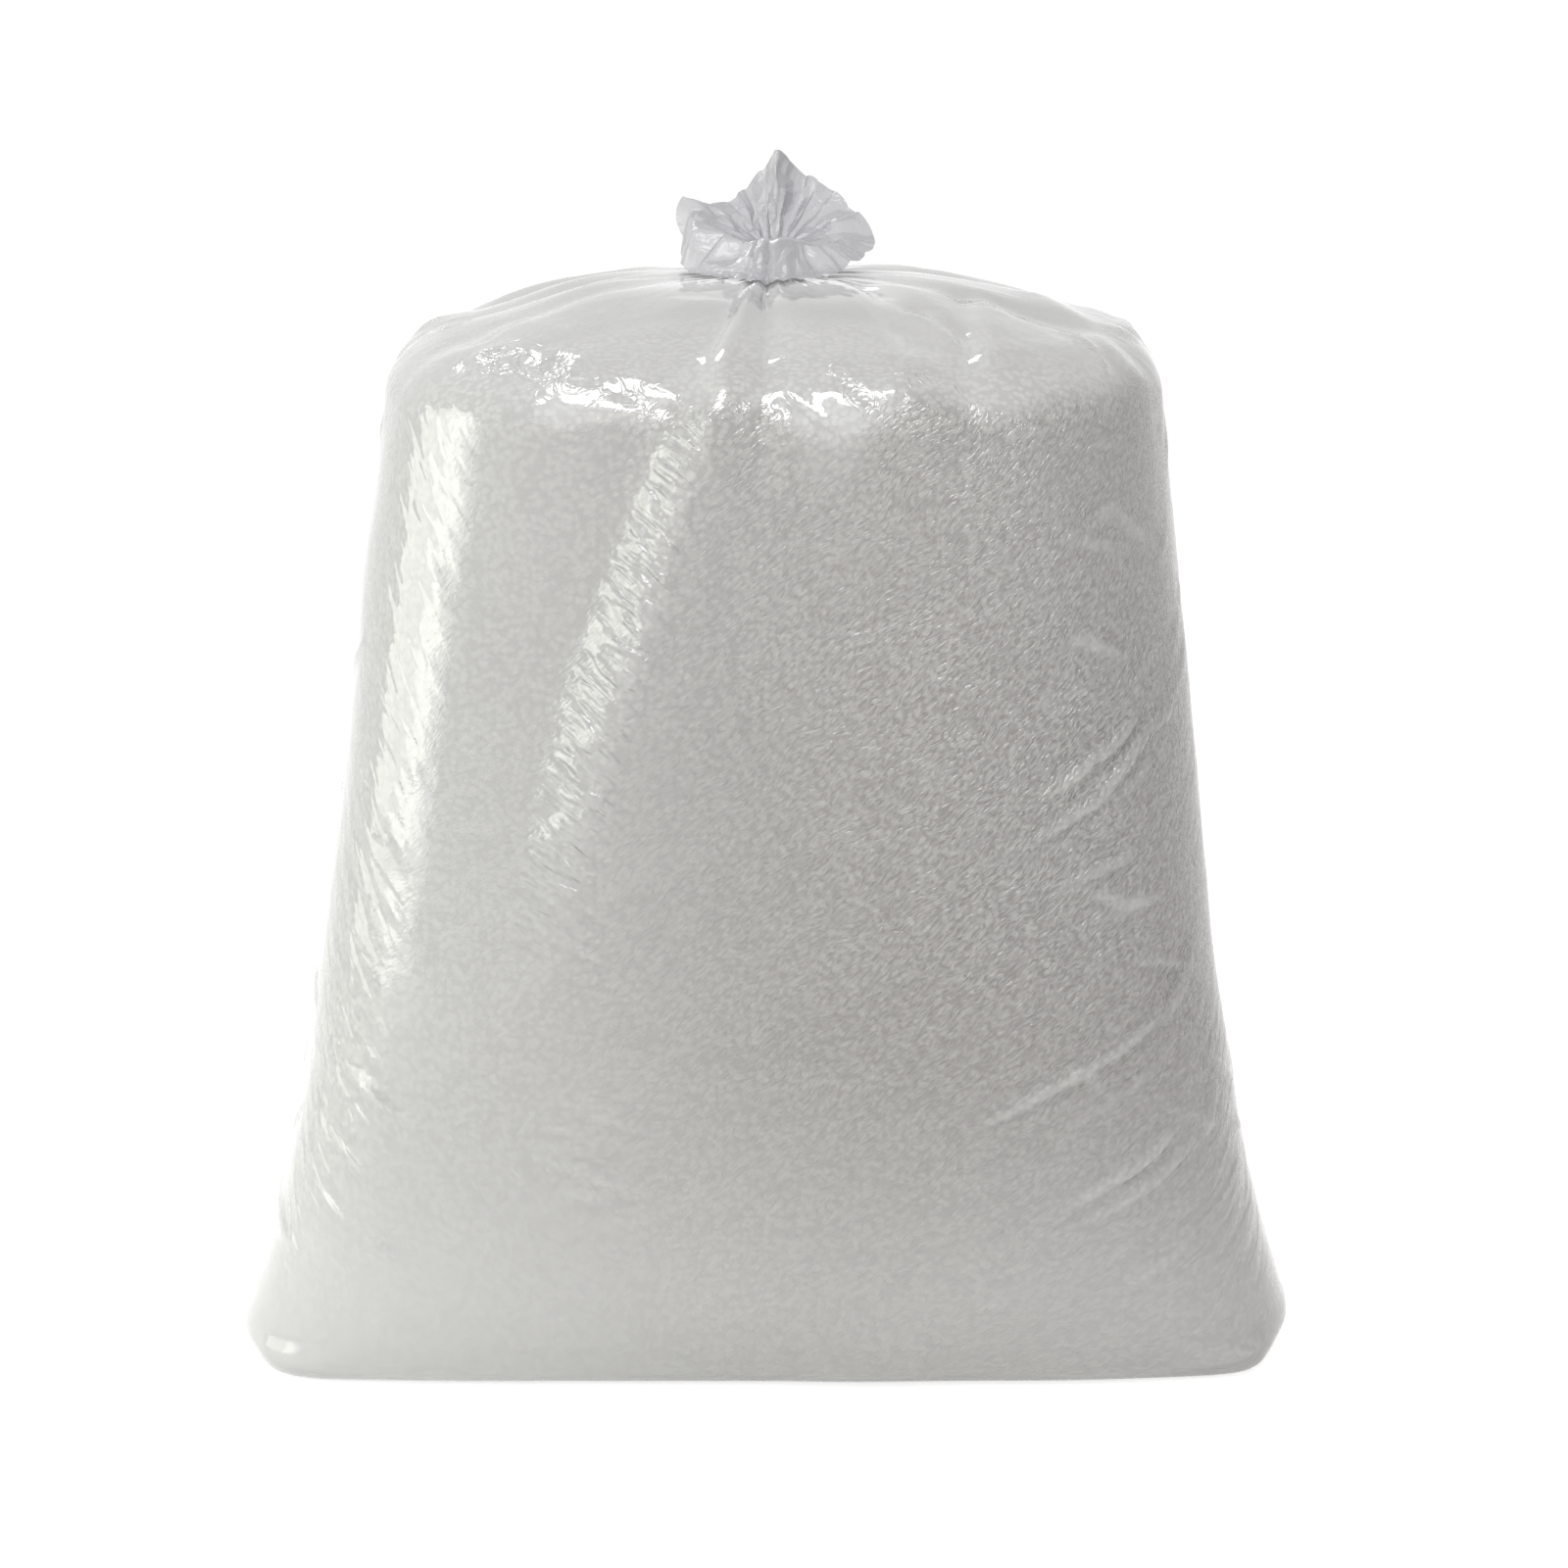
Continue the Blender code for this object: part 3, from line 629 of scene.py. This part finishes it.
def buildBeads():
    size = beadSize
    angle, points, stages, run = makeSmoothBag(size["counts"], size["columns"], ears=0.3)
    kept = [i for i, (stage, share) in enumerate(stages)
            if stage != "turn" or share <= size["turnKept"] + 1e-6]
    normal = surfaceNormals(points)
    alongGrid, upGrid = np.meshgrid(*filmCoordinates(angle, stages))
    sunk = creaseDepth(angle, stages, points, run)
    relief, _, pocket = frontRelief(points, upGrid)
    lumps = noiseField(alongGrid, upGrid, 0.030, 0.030, 11)
    lumps = lumps + 0.5 * noiseField(alongGrid, upGrid, 0.012, 0.012, 12)
    moved = -size["clearance"] - sunk * 1.05 + size["lumps"] * (lumps - 1.2) + slackHeight(alongGrid, upGrid)
    moved = moved + np.where(relief > 0, size["foldShare"], 1.0) * relief * smooth((0.60 - upGrid) / 0.06)
    moved = moved - size["pocketDepth"] * pocket - size["topClearance"] * smooth((upGrid - 0.585) / 0.03)
    points = (points + normal * moved[:, :, None])[kept]
    points[:4, :, 2] = np.maximum(points[:4, :, 2], 0.0008)
    rim = points[-1]
    centre = rim.mean(axis=0)
    crown = []
    for share in np.linspace(0.97, 0.04, 34):
        ring = centre + (rim - centre) * share
        ring[:, 2] = rim[:, 2] * share ** 2 + centre[2] * (1 - share ** 2)
        ring[:, 2] += size["crown"] * (1 - share ** 1.6)
        ring[:, 2] += size["crownLumps"] * noiseField(ring[:, 0] + 1, ring[:, 1] + 1, 0.022, 0.022, 13)
        crown.append(ring)
    points = np.concatenate([points, np.array(crown)])
    return meshFromRings("beadMass", points, centre=points[-1].mean(axis=0))


ruffleShape = {
    "columns": 720, "rings": 62,
    # angle, slope above level, reach, how far the end turns down and where it starts to, at each fold
    "folds": ((0, 6, 0.050, 12, 0.52), (20, 22, 0.046, 0, 0.52), (40, 37, 0.046, 0, 0.52),
              (62, 50, 0.048, 0, 0.52), (86, 80, 0.0568, 0, 0.52), (102, 62, 0.048, 0, 0.52),
              (116, 45, 0.042, 0, 0.52), (134, 39, 0.038, 0, 0.52), (150, 35, 0.041, 0, 0.52),
              (162, 32, 0.053, 8, 0.66), (168, 30, 0.058, 96, 0.60), (176, 27, 0.070, 112, 0.58),
              (191, 17, 0.064, 95, 0.58),
              (210, 14, 0.052, 60, 0.35), (232, 22, 0.048, 72, 0.25), (250, 34, 0.048, 85, 0.22),
              (268, 24, 0.050, 80, 0.20), (285, 34, 0.048, 85, 0.22), (303, 22, 0.046, 70, 0.25),
              (320, 12, 0.046, 48, 0.35), (335, 2, 0.046, 28, 0.45), (348, 2, 0.048, 18, 0.52)),
    "bend": 0.10, "tieClearance": 0.0024, "bagClearance": 0.0018, "pleats": ((21, 1.0, 0.3), (37, 0.5, 1.9)),
    "sway": 7.0, "crumple": 0.0018, "creases": 0.0017, "fillRings": 8, "fillDome": 0.0045,
}


def ringAt(angle, out, height):
    return np.stack([bagShape["lean"] + out * np.cos(angle), out * np.sin(angle), height], 1)


def buildRuffle(film):
    shape = ruffleShape
    angle = np.linspace(0, 2 * np.pi, shape["columns"], endpoint=False)
    degrees = np.degrees(angle)
    table = np.array(shape["folds"], dtype=float)
    wholeTurn = np.array([360, 0, 0, 0, 0])
    table = np.vstack([table[-1] - wholeTurn, table, table[0] + wholeTurn])
    place = np.searchsorted(table[:, 0], degrees, side="right") - 1
    part = smooth((degrees - table[place, 0]) / (table[place + 1, 0] - table[place, 0]))
    slope, reach, droop, turnFrom = (blend(table[place, k], table[place + 1, k], part) for k in (1, 2, 3, 4))
    reach = reach * (1 + 0.03 * roundNoise(angle, 1, 0.03, 1, 21))
    turnRun = blend(0.22, 0.10, smooth((droop - 85) / 15))  # the hanging flap at the left turns sharply
    start = out = bagShape["neckRadius"] - bagShape["neckPleat"] * neckCreases(angle)
    foot = np.full_like(angle, neckTop() - bagShape["tieHeight"] / 2)
    height = foot + shape["tieClearance"]
    steps = np.linspace(0, 1, shape["rings"])
    # the gathered film fills the neck
    rings = []
    for share in np.linspace(0.08, 0.92, shape["fillRings"]):
        dome = height + shape["fillDome"] * (1 - share ** 2) + 0.0013 * share * np.sin(24 * angle)
        rings.append(ringAt(angle, share * out, dome))
    rings.append(ringAt(angle, out, foot))
    for k, share in enumerate(steps):
        here = slope - droop * smooth((share - turnFrom) / turnRun)
        for count, size, phase in shape["pleats"]:
            wander = 0.8 * roundNoise(angle, share * 0.05, 0.06, 0.03, 22 + count)
            zigzag = np.arcsin(0.97 * np.sin(count * angle + phase + wander))
            here = here + size * (2 / np.pi) * zigzag * smooth(share / 0.5)
        here = here + shape["sway"] * roundNoise(angle, share * 0.06, 0.026, 0.022, 30) * share
        here = np.radians(blend(90, here, smooth(share / shape["bend"])))  # upright as it leaves the tie
        if k:
            travel = (share - steps[k - 1]) * reach
            out, height = out + np.cos(here) * travel, height + np.sin(here) * travel
        if share < 0.12:  # it is clear of the tie before it bends out
            out = np.where(height < neckTop() + 0.0004, start, out)
        rings.append(ringAt(angle, out, height))
    points = np.array(rings)
    normal = surfaceNormals(points)
    share = np.concatenate([np.zeros(len(points) - len(steps)), steps])[:, None]
    turn = np.broadcast_to(angle * 0.05, points.shape[:2])
    rise = share * 0.06 + turn * 0
    crumple = shape["crumple"] * noiseField(turn, rise, 0.0170, 0.0200, 33, 0.1 * np.pi)
    crumple = crumple + shape["creases"] * facets(turn, rise, 0.0130, 31, 0.1 * np.pi)
    points = points + normal * (crumple * smooth(share / 0.4))[:, :, None]
    # where it hangs down to the bag it rests on it, and what is left over spreads outwards
    bag = BVHTree.FromPolygons([v.co for v in film.data.vertices],
                               [tuple(p.vertices) for p in film.data.polygons])
    down, above = Vector((0, 0, -1)), 0.75  # rays fall from above the whole bag
    free = points[shape["fillRings"] + 6:].reshape(-1, 3)  # a view of all that is past the tie
    for spread in (0.7, 0.0, 0.0):
        for point in free:
            found = bag.ray_cast(Vector((point[0], point[1], above)), down)[0]
            short = found.z + shape["bagClearance"] - point[2] if found else 0.0
            if short > 0:
                away = np.array([point[0] - bagShape["lean"], point[1]])
                point[:2] += away / max(np.linalg.norm(away), 1e-6) * spread * short
                point[2] += short
    return meshFromRings("filmRuffle", points)


def addNode(tree, kind, inputs=None, **settings):
    # an input may be a value, a socket, or a node, which gives its first output
    node = tree.nodes.new(kind)
    for name, value in settings.items():
        setattr(node, name, value)
    for name, value in (inputs or {}).items():
        value = value.outputs[0] if isinstance(value, bpy.types.Node) else value
        if isinstance(value, bpy.types.NodeSocket):
            tree.links.new(value, node.inputs[name])
        else:
            node.inputs[name].default_value = value
    return node


def newMaterial(name):
    material = bpy.data.materials.new(name)
    material.use_nodes = True
    material.node_tree.nodes.clear()
    return material, material.node_tree


filmColours = {
    # the colour for between the beads is painted shade in the film's valleys between them
    "haze": "#F4F4F4", "between": "#C5C0BD", "roughness": 0.11, "edgeShare": 0.45,
    "hazeShare": 0.60, "pressedShare": 0.50, "gatheredShare": 0.30,  # how much of it the film hides
    # the ruffle's bunched grey is painted shade: the same film given a darker colour than its haze
    "bunchedShadeGrey": "#C1C1C5", "bunchedShare": 0.82, "bunchedRoughness": 0.22, "bunchedShine": 0.35,
    "crackleScale": 62.0,  # to the metre
    # metres: how high the crackle stands in the two pieces, and the print of the beads
    "crackleRise": 0.0006, "bunchedRise": 0.0002, "printRise": 0.0008,
    "rowLength": 0.0046, "rowWidth": 0.0019, "rowSlant": 36,
    # short folds: slant in degrees, where they are, length, distance apart and height
    "folds": ((-50, "drawnRight", 0.036, 0.0100, 0.0008), (-30, "flankFolds", 0.024, 0.0070, 0.0018),
              (30, "drawnLeft", 0.045, 0.0085, 0.0017)),
}


def sharpRidges(tree, field, width):
    # 1 along thin crests where the field passes its middle value, 0 elsewhere
    off = addNode(tree, "ShaderNodeMath", {0: field, 1: 0.5}, operation="SUBTRACT")
    size = addNode(tree, "ShaderNodeMath", {0: off}, operation="ABSOLUTE")
    return addNode(tree, "ShaderNodeMapRange", {
        "Value": size, "From Min": 0.0, "From Max": width, "To Min": 1.0, "To Max": 0.0},
        interpolation_type="SMOOTHSTEP")


def beadPrint(tree, filmRun):
    # the beads print through in wavy rows 4 mm apart, which the tight film draws out up to the right
    wander = addNode(tree, "ShaderNodeTexNoise", {"Vector": filmRun, "Scale": 26.0, "Detail": 1.0})
    moved = addNode(tree, "ShaderNodeVectorMath", {0: wander.outputs["Color"], 1: (0.012, 0.012, 0.0),
                                                   2: filmRun}, operation="MULTIPLY_ADD")
    turned = addNode(tree, "ShaderNodeMapping", {
        "Vector": moved, "Rotation": (0, 0, math.radians(filmColours["rowSlant"])),
        "Scale": (filmColours["rowLength"], filmColours["rowWidth"], 1.0)}, vector_type="TEXTURE")
    rows = addNode(tree, "ShaderNodeTexNoise", {"Vector": turned, "Scale": 1.0, "Detail": 0.0,
                                                "Distortion": 0.7})
    return addNode(tree, "ShaderNodeMapRange", {"Value": rows.outputs["Fac"], "From Min": 0.25,
                                                "From Max": 0.75})


def drawnFolds(tree, filmRun, degrees, share, length, apart):
    # short slanting folds, only where the share says
    turned = addNode(tree, "ShaderNodeMapping", {"Vector": filmRun, "Rotation": (0, 0, math.radians(degrees)),
                                                 "Scale": (length, apart, 1.0)}, vector_type="TEXTURE")
    field = addNode(tree, "ShaderNodeTexNoise", {"Vector": turned, "Scale": 1.0, "Detail": 1.0,
                                                 "Roughness": 0.35, "Distortion": 0.4})
    wave = addNode(tree, "ShaderNodeMapRange", {"Value": field.outputs["Fac"], "From Min": 0.30,
                                                "From Max": 0.70}, interpolation_type="SMOOTHSTEP")
    return addNode(tree, "ShaderNodeMath", {0: wave, 1: share}, operation="MULTIPLY")


def polythene(name, body):
    # LDPE film, blown: clear with a faint milky haze, glossy, and it takes the print of the beads
    look = filmColours
    material, tree = newMaterial(name)
    place = addNode(tree, "ShaderNodeTexCoord").outputs["Object"]
    # crackle of fine creases, 8 to 20 mm apart
    crackle = addNode(tree, "ShaderNodeTexNoise", {"Vector": place, "Scale": look["crackleScale"],
                                                   "Detail": 2.0, "Roughness": 0.5, "Distortion": 1.2})
    ridge = sharpRidges(tree, crackle.outputs["Fac"], 0.10)
    if body:
        filmRun = addNode(tree, "ShaderNodeUVMap", uv_map="filmRun").outputs["UV"]
        share = {mark: addNode(tree, "ShaderNodeAttribute", attribute_name=mark).outputs["Fac"]
                 for mark in ("crumpled", "drawnRight", "flankFolds", "drawnLeft", "contactAndShade", "printed",
                              "gathered", "shine")}
        creased = addNode(tree, "ShaderNodeMath", {0: share["crumpled"], 1: 0.9, 2: 0.03},
                          operation="MULTIPLY_ADD")
        ridge = addNode(tree, "ShaderNodeMath", {0: ridge, 1: creased}, operation="MULTIPLY")
        pressed = addNode(tree, "ShaderNodeMath", {0: beadPrint(tree, filmRun), 1: share["printed"]},
                          operation="MULTIPLY")
        relief = [(ridge, look["crackleRise"])]
        relief += [(drawnFolds(tree, filmRun, degrees, share[mark], length, apart), rise)
                   for degrees, mark, length, apart, rise in look["folds"]]
        relief += [(pressed, look["printRise"])]
        haze = addNode(tree, "ShaderNodeMapRange", {"Value": share["contactAndShade"], "To Min": look["hazeShare"],
                                                    "To Max": look["pressedShare"]})
        # more white haze where layers gather at the neck, and painted light at the left of the foot
        haze = addNode(tree, "ShaderNodeMath", {0: share["gathered"], 1: look["gatheredShare"], 2: haze},
                       operation="MULTIPLY_ADD")
        # painted shade: greyer in the valleys between the printed beads, and darker overall where the beads
        # press hardest
        gap = addNode(tree, "ShaderNodeMath", {0: 1.0, 1: pressed}, operation="SUBTRACT")
        depth = addNode(tree, "ShaderNodeMath", {0: gap, 1: share["contactAndShade"]}, operation="MULTIPLY")
        colour = addNode(tree, "ShaderNodeMix", {"Factor": depth, "A": linear(look["haze"]),
                                                 "B": linear(look["between"])}, data_type="RGBA")
        colour = colour.outputs["Result"]
        roughness, specular, shine, coatRoughness, coatIor = look["roughness"], 1.0, share["shine"], 0.05, 2.1
    else:
        relief = [(ridge, look["bunchedRise"])]
        # painted shade: the ruffle takes the darker bunched grey instead of the film's haze colour
        haze, colour = look["bunchedShare"], linear(look["bunchedShadeGrey"])
        roughness, specular, shine, coatRoughness, coatIor = (
            look["bunchedRoughness"], 0.5, look["bunchedShine"], 0.12, 1.51)
    under = {}
    for height, rise in relief:
        bump = addNode(tree, "ShaderNodeBump", {"Strength": 1.0, "Distance": rise, "Height": height, **under})
        under = {"Normal": bump}
    shader = addNode(tree, "ShaderNodeBsdfPrincipled", {
        "Base Color": colour, "Roughness": roughness, "IOR": 1.51, "Specular IOR Level": specular,
        "Coat Weight": shine, "Coat Roughness": coatRoughness, "Coat IOR": coatIor,
        "Normal": bump, "Coat Normal": bump})
    clear = addNode(tree, "ShaderNodeBsdfTransparent")
    edge = addNode(tree, "ShaderNodeLayerWeight", {"Blend": 0.25})
    more = addNode(tree, "ShaderNodeMath", {0: edge.outputs["Fresnel"], 1: look["edgeShare"], 2: haze},
                   operation="MULTIPLY_ADD", use_clamp=True)
    mix = addNode(tree, "ShaderNodeMixShader", {0: more, 1: clear, 2: shader})
    addNode(tree, "ShaderNodeOutputMaterial", {"Surface": mix})
    return material


# the colour for between the beads is painted shade in the gaps between them
beadColours = {"bead": "#F4F5ED", "between": "#96958A", "beadSize": 0.0044, "rise": 0.0016}


def expandedPolystyrene():
    # EPS beads, steam expanded: matt white spheres, with painted shade greying the gaps between them
    material, tree = newMaterial("expandedPolystyreneBeads")
    place = addNode(tree, "ShaderNodeTexCoord").outputs["Object"]
    # a cell is one bead: 1 on its crest and 0 between beads, for the bump and for the painted shade
    cells = addNode(tree, "ShaderNodeTexVoronoi", {"Vector": place, "Scale": 1 / beadColours["beadSize"],
                                                   "Randomness": 0.85}, feature="F1")
    far = addNode(tree, "ShaderNodeMath", {0: cells.outputs["Distance"], 1: 0.62}, operation="DIVIDE")
    square = addNode(tree, "ShaderNodeMath", {0: far, 1: 2.0}, operation="POWER")
    rest = addNode(tree, "ShaderNodeMath", {0: 1.0, 1: square}, operation="SUBTRACT", use_clamp=True)
    dome = addNode(tree, "ShaderNodeMath", {0: rest, 1: 0.5}, operation="POWER")
    # painted shade: the colour darkens from each bead's crest into the gaps
    tone = addNode(tree, "ShaderNodeMix", {"Factor": dome, "A": linear(beadColours["between"]),
                                           "B": linear(beadColours["bead"])}, data_type="RGBA")
    bump = addNode(tree, "ShaderNodeBump", {"Strength": 1.0, "Distance": beadColours["rise"], "Height": dome})
    shader = addNode(tree, "ShaderNodeBsdfPrincipled", {
        "Base Color": tone.outputs["Result"], "Roughness": 0.85, "IOR": 1.45, "Specular IOR Level": 0.3,
        "Normal": bump})
    addNode(tree, "ShaderNodeOutputMaterial", {"Surface": shader})
    return material


tieColours = {"dark": "#D6D6D2", "pale": "#EDEDEA", "rise": 0.0002}


def clearBand():
    # PVC band, extruded: pale and slightly waxy, with faint drawn lines round it
    material, tree = newMaterial("extrudedBand")
    place = addNode(tree, "ShaderNodeTexCoord").outputs["Object"]
    stretched = addNode(tree, "ShaderNodeMapping", {"Vector": place, "Scale": (1.0, 1.0, 12.0)})
    lines = addNode(tree, "ShaderNodeTexNoise", {"Vector": stretched, "Scale": 260.0, "Detail": 2.0})
    tone = addNode(tree, "ShaderNodeMix", {"Factor": lines.outputs["Fac"], "A": linear(tieColours["dark"]),
                                           "B": linear(tieColours["pale"])}, data_type="RGBA")
    bump = addNode(tree, "ShaderNodeBump", {"Strength": 0.5, "Distance": tieColours["rise"],
                                            "Height": lines.outputs["Fac"]})
    shader = addNode(tree, "ShaderNodeBsdfPrincipled", {
        "Base Color": tone.outputs["Result"], "Roughness": 0.32, "IOR": 1.53, "Normal": bump})
    addNode(tree, "ShaderNodeOutputMaterial", {"Surface": shader})
    return material


def setMaterial(piece, material):
    piece.data.materials.clear()
    piece.data.materials.append(material)


studio = {
    "ambient": 0.39, "floorGlow": 0.72,
    "lens": 112.5, "distance": 3.0, "elevation": 13.0, "target": (0.012, 0.0, 0.3345),
    # softboxes: place, what it is aimed at, width, height, power and colour
    "softboxes": {
        "sideSoftbox": ((-1.715, -0.350, 0.68), (0, 0, 0.66), 1.30, 1.2, 7.8, "#FAFFF2"),
        "edgeSoftbox": ((-1.50, -0.86, 0.52), (0, 0, 0.45), 0.55, 1.0, 2.2, "#FBFFF6"),
        "backSoftbox": ((-0.62, 0.80, 1.72), (-0.12, -0.05, 0.60), 0.45, 0.45, 4.0, "#FFFFFF"),
        "topSoftbox": ((-0.1, -1.45, 2.05), (0, 0, 0.60), 1.6, 0.6, 16.5, "#FFFFFF"),
        "frontSoftbox": ((-0.2, -3.15, 1.7), (0, 0, 0.30), 2.6, 2.0, 10.0, "#FFFFFF"),
    },
}


def seenDirectly(tree):
    # 1 for what the camera sees straight on, in a reflection or through clear film
    rays = addNode(tree, "ShaderNodeLightPath")
    first = addNode(tree, "ShaderNodeMath", {0: rays.outputs["Is Camera Ray"],
                                             1: rays.outputs["Is Glossy Ray"]}, operation="MAXIMUM")
    return addNode(tree, "ShaderNodeMath", {0: first, 1: rays.outputs["Is Transmission Ray"]},
                   operation="MAXIMUM")


def buildStudio():
    world = bpy.data.worlds.new("studio")
    bpy.context.scene.world = world
    world.use_nodes = True
    tree = world.node_tree
    tree.nodes.clear()
    light = addNode(tree, "ShaderNodeBackground", {"Color": linear("#FFFCFC"), "Strength": studio["ambient"]})
    seen = addNode(tree, "ShaderNodeBackground", {"Color": linear("#FFFFFF"), "Strength": 1.0})
    mix = addNode(tree, "ShaderNodeMixShader", {0: seenDirectly(tree), 1: light, 2: seen})
    addNode(tree, "ShaderNodeOutputWorld", {"Surface": mix})

    bpy.ops.object.select_all(action="DESELECT")
    bpy.ops.mesh.primitive_plane_add(size=40, location=(0, 0, -0.001))
    floor = bpy.context.object
    floor.name = "studioFloor"
    material, tree = newMaterial("paleFloor")
    matt = addNode(tree, "ShaderNodeBsdfDiffuse", {"Color": linear("#F2F2F0")})
    lit = addNode(tree, "ShaderNodeEmission", {"Color": linear("#FFFFFF"), "Strength": studio["floorGlow"]})
    both = addNode(tree, "ShaderNodeAddShader", {0: matt, 1: lit})
    mix = addNode(tree, "ShaderNodeMixShader", {0: seenDirectly(tree), 1: matt, 2: both})
    addNode(tree, "ShaderNodeOutputMaterial", {"Surface": mix})
    floor.data.materials.append(material)

    for name, (place, aim, width, height, power, colour) in studio["softboxes"].items():
        lamp = bpy.data.lights.new(name, "AREA")
        lamp.shape = "RECTANGLE"
        lamp.size, lamp.size_y, lamp.energy = width, height, power
        lamp.color = linear(colour)[:3]
        piece = bpy.data.objects.new(name, lamp)
        piece.location = place
        piece.rotation_euler = (Vector(aim) - Vector(place)).to_track_quat("-Z", "Y").to_euler()
        bpy.context.scene.collection.objects.link(piece)

    camera = bpy.data.objects.new("camera", bpy.data.cameras.new("camera"))
    bpy.context.scene.collection.objects.link(camera)
    tilt = math.radians(studio["elevation"])
    target = Vector(studio["target"])
    camera.location = target + Vector((0, -math.cos(tilt), math.sin(tilt))) * studio["distance"]
    camera.rotation_euler = (math.radians(90) - tilt, 0, 0)
    camera.data.lens = studio["lens"]
    camera.data.sensor_width = 36
    camera.data.clip_end = 100
    bpy.context.scene.camera = camera
    bpy.context.scene.view_settings.view_transform = "Standard"


buildStudio()
print("studio ready")

film = buildFilm()
setMaterial(film, polythene("blownPolythene", True))
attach(film, "root")
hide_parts("film_bag")
print("film ready", len(film.data.polygons))

ruffle = buildRuffle(film)
setMaterial(ruffle, polythene("blownPolytheneRuffle", False))
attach(ruffle, "root")
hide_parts("film_bag")
print("ruffle ready", len(ruffle.data.polygons))

beads = buildBeads()
setMaterial(beads, expandedPolystyrene())
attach(beads, "root")
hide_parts("bead_fill")
print("beads ready", len(beads.data.polygons))

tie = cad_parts["neck_tie"]
setMaterial(tie, clearBand())
print("tie ready")
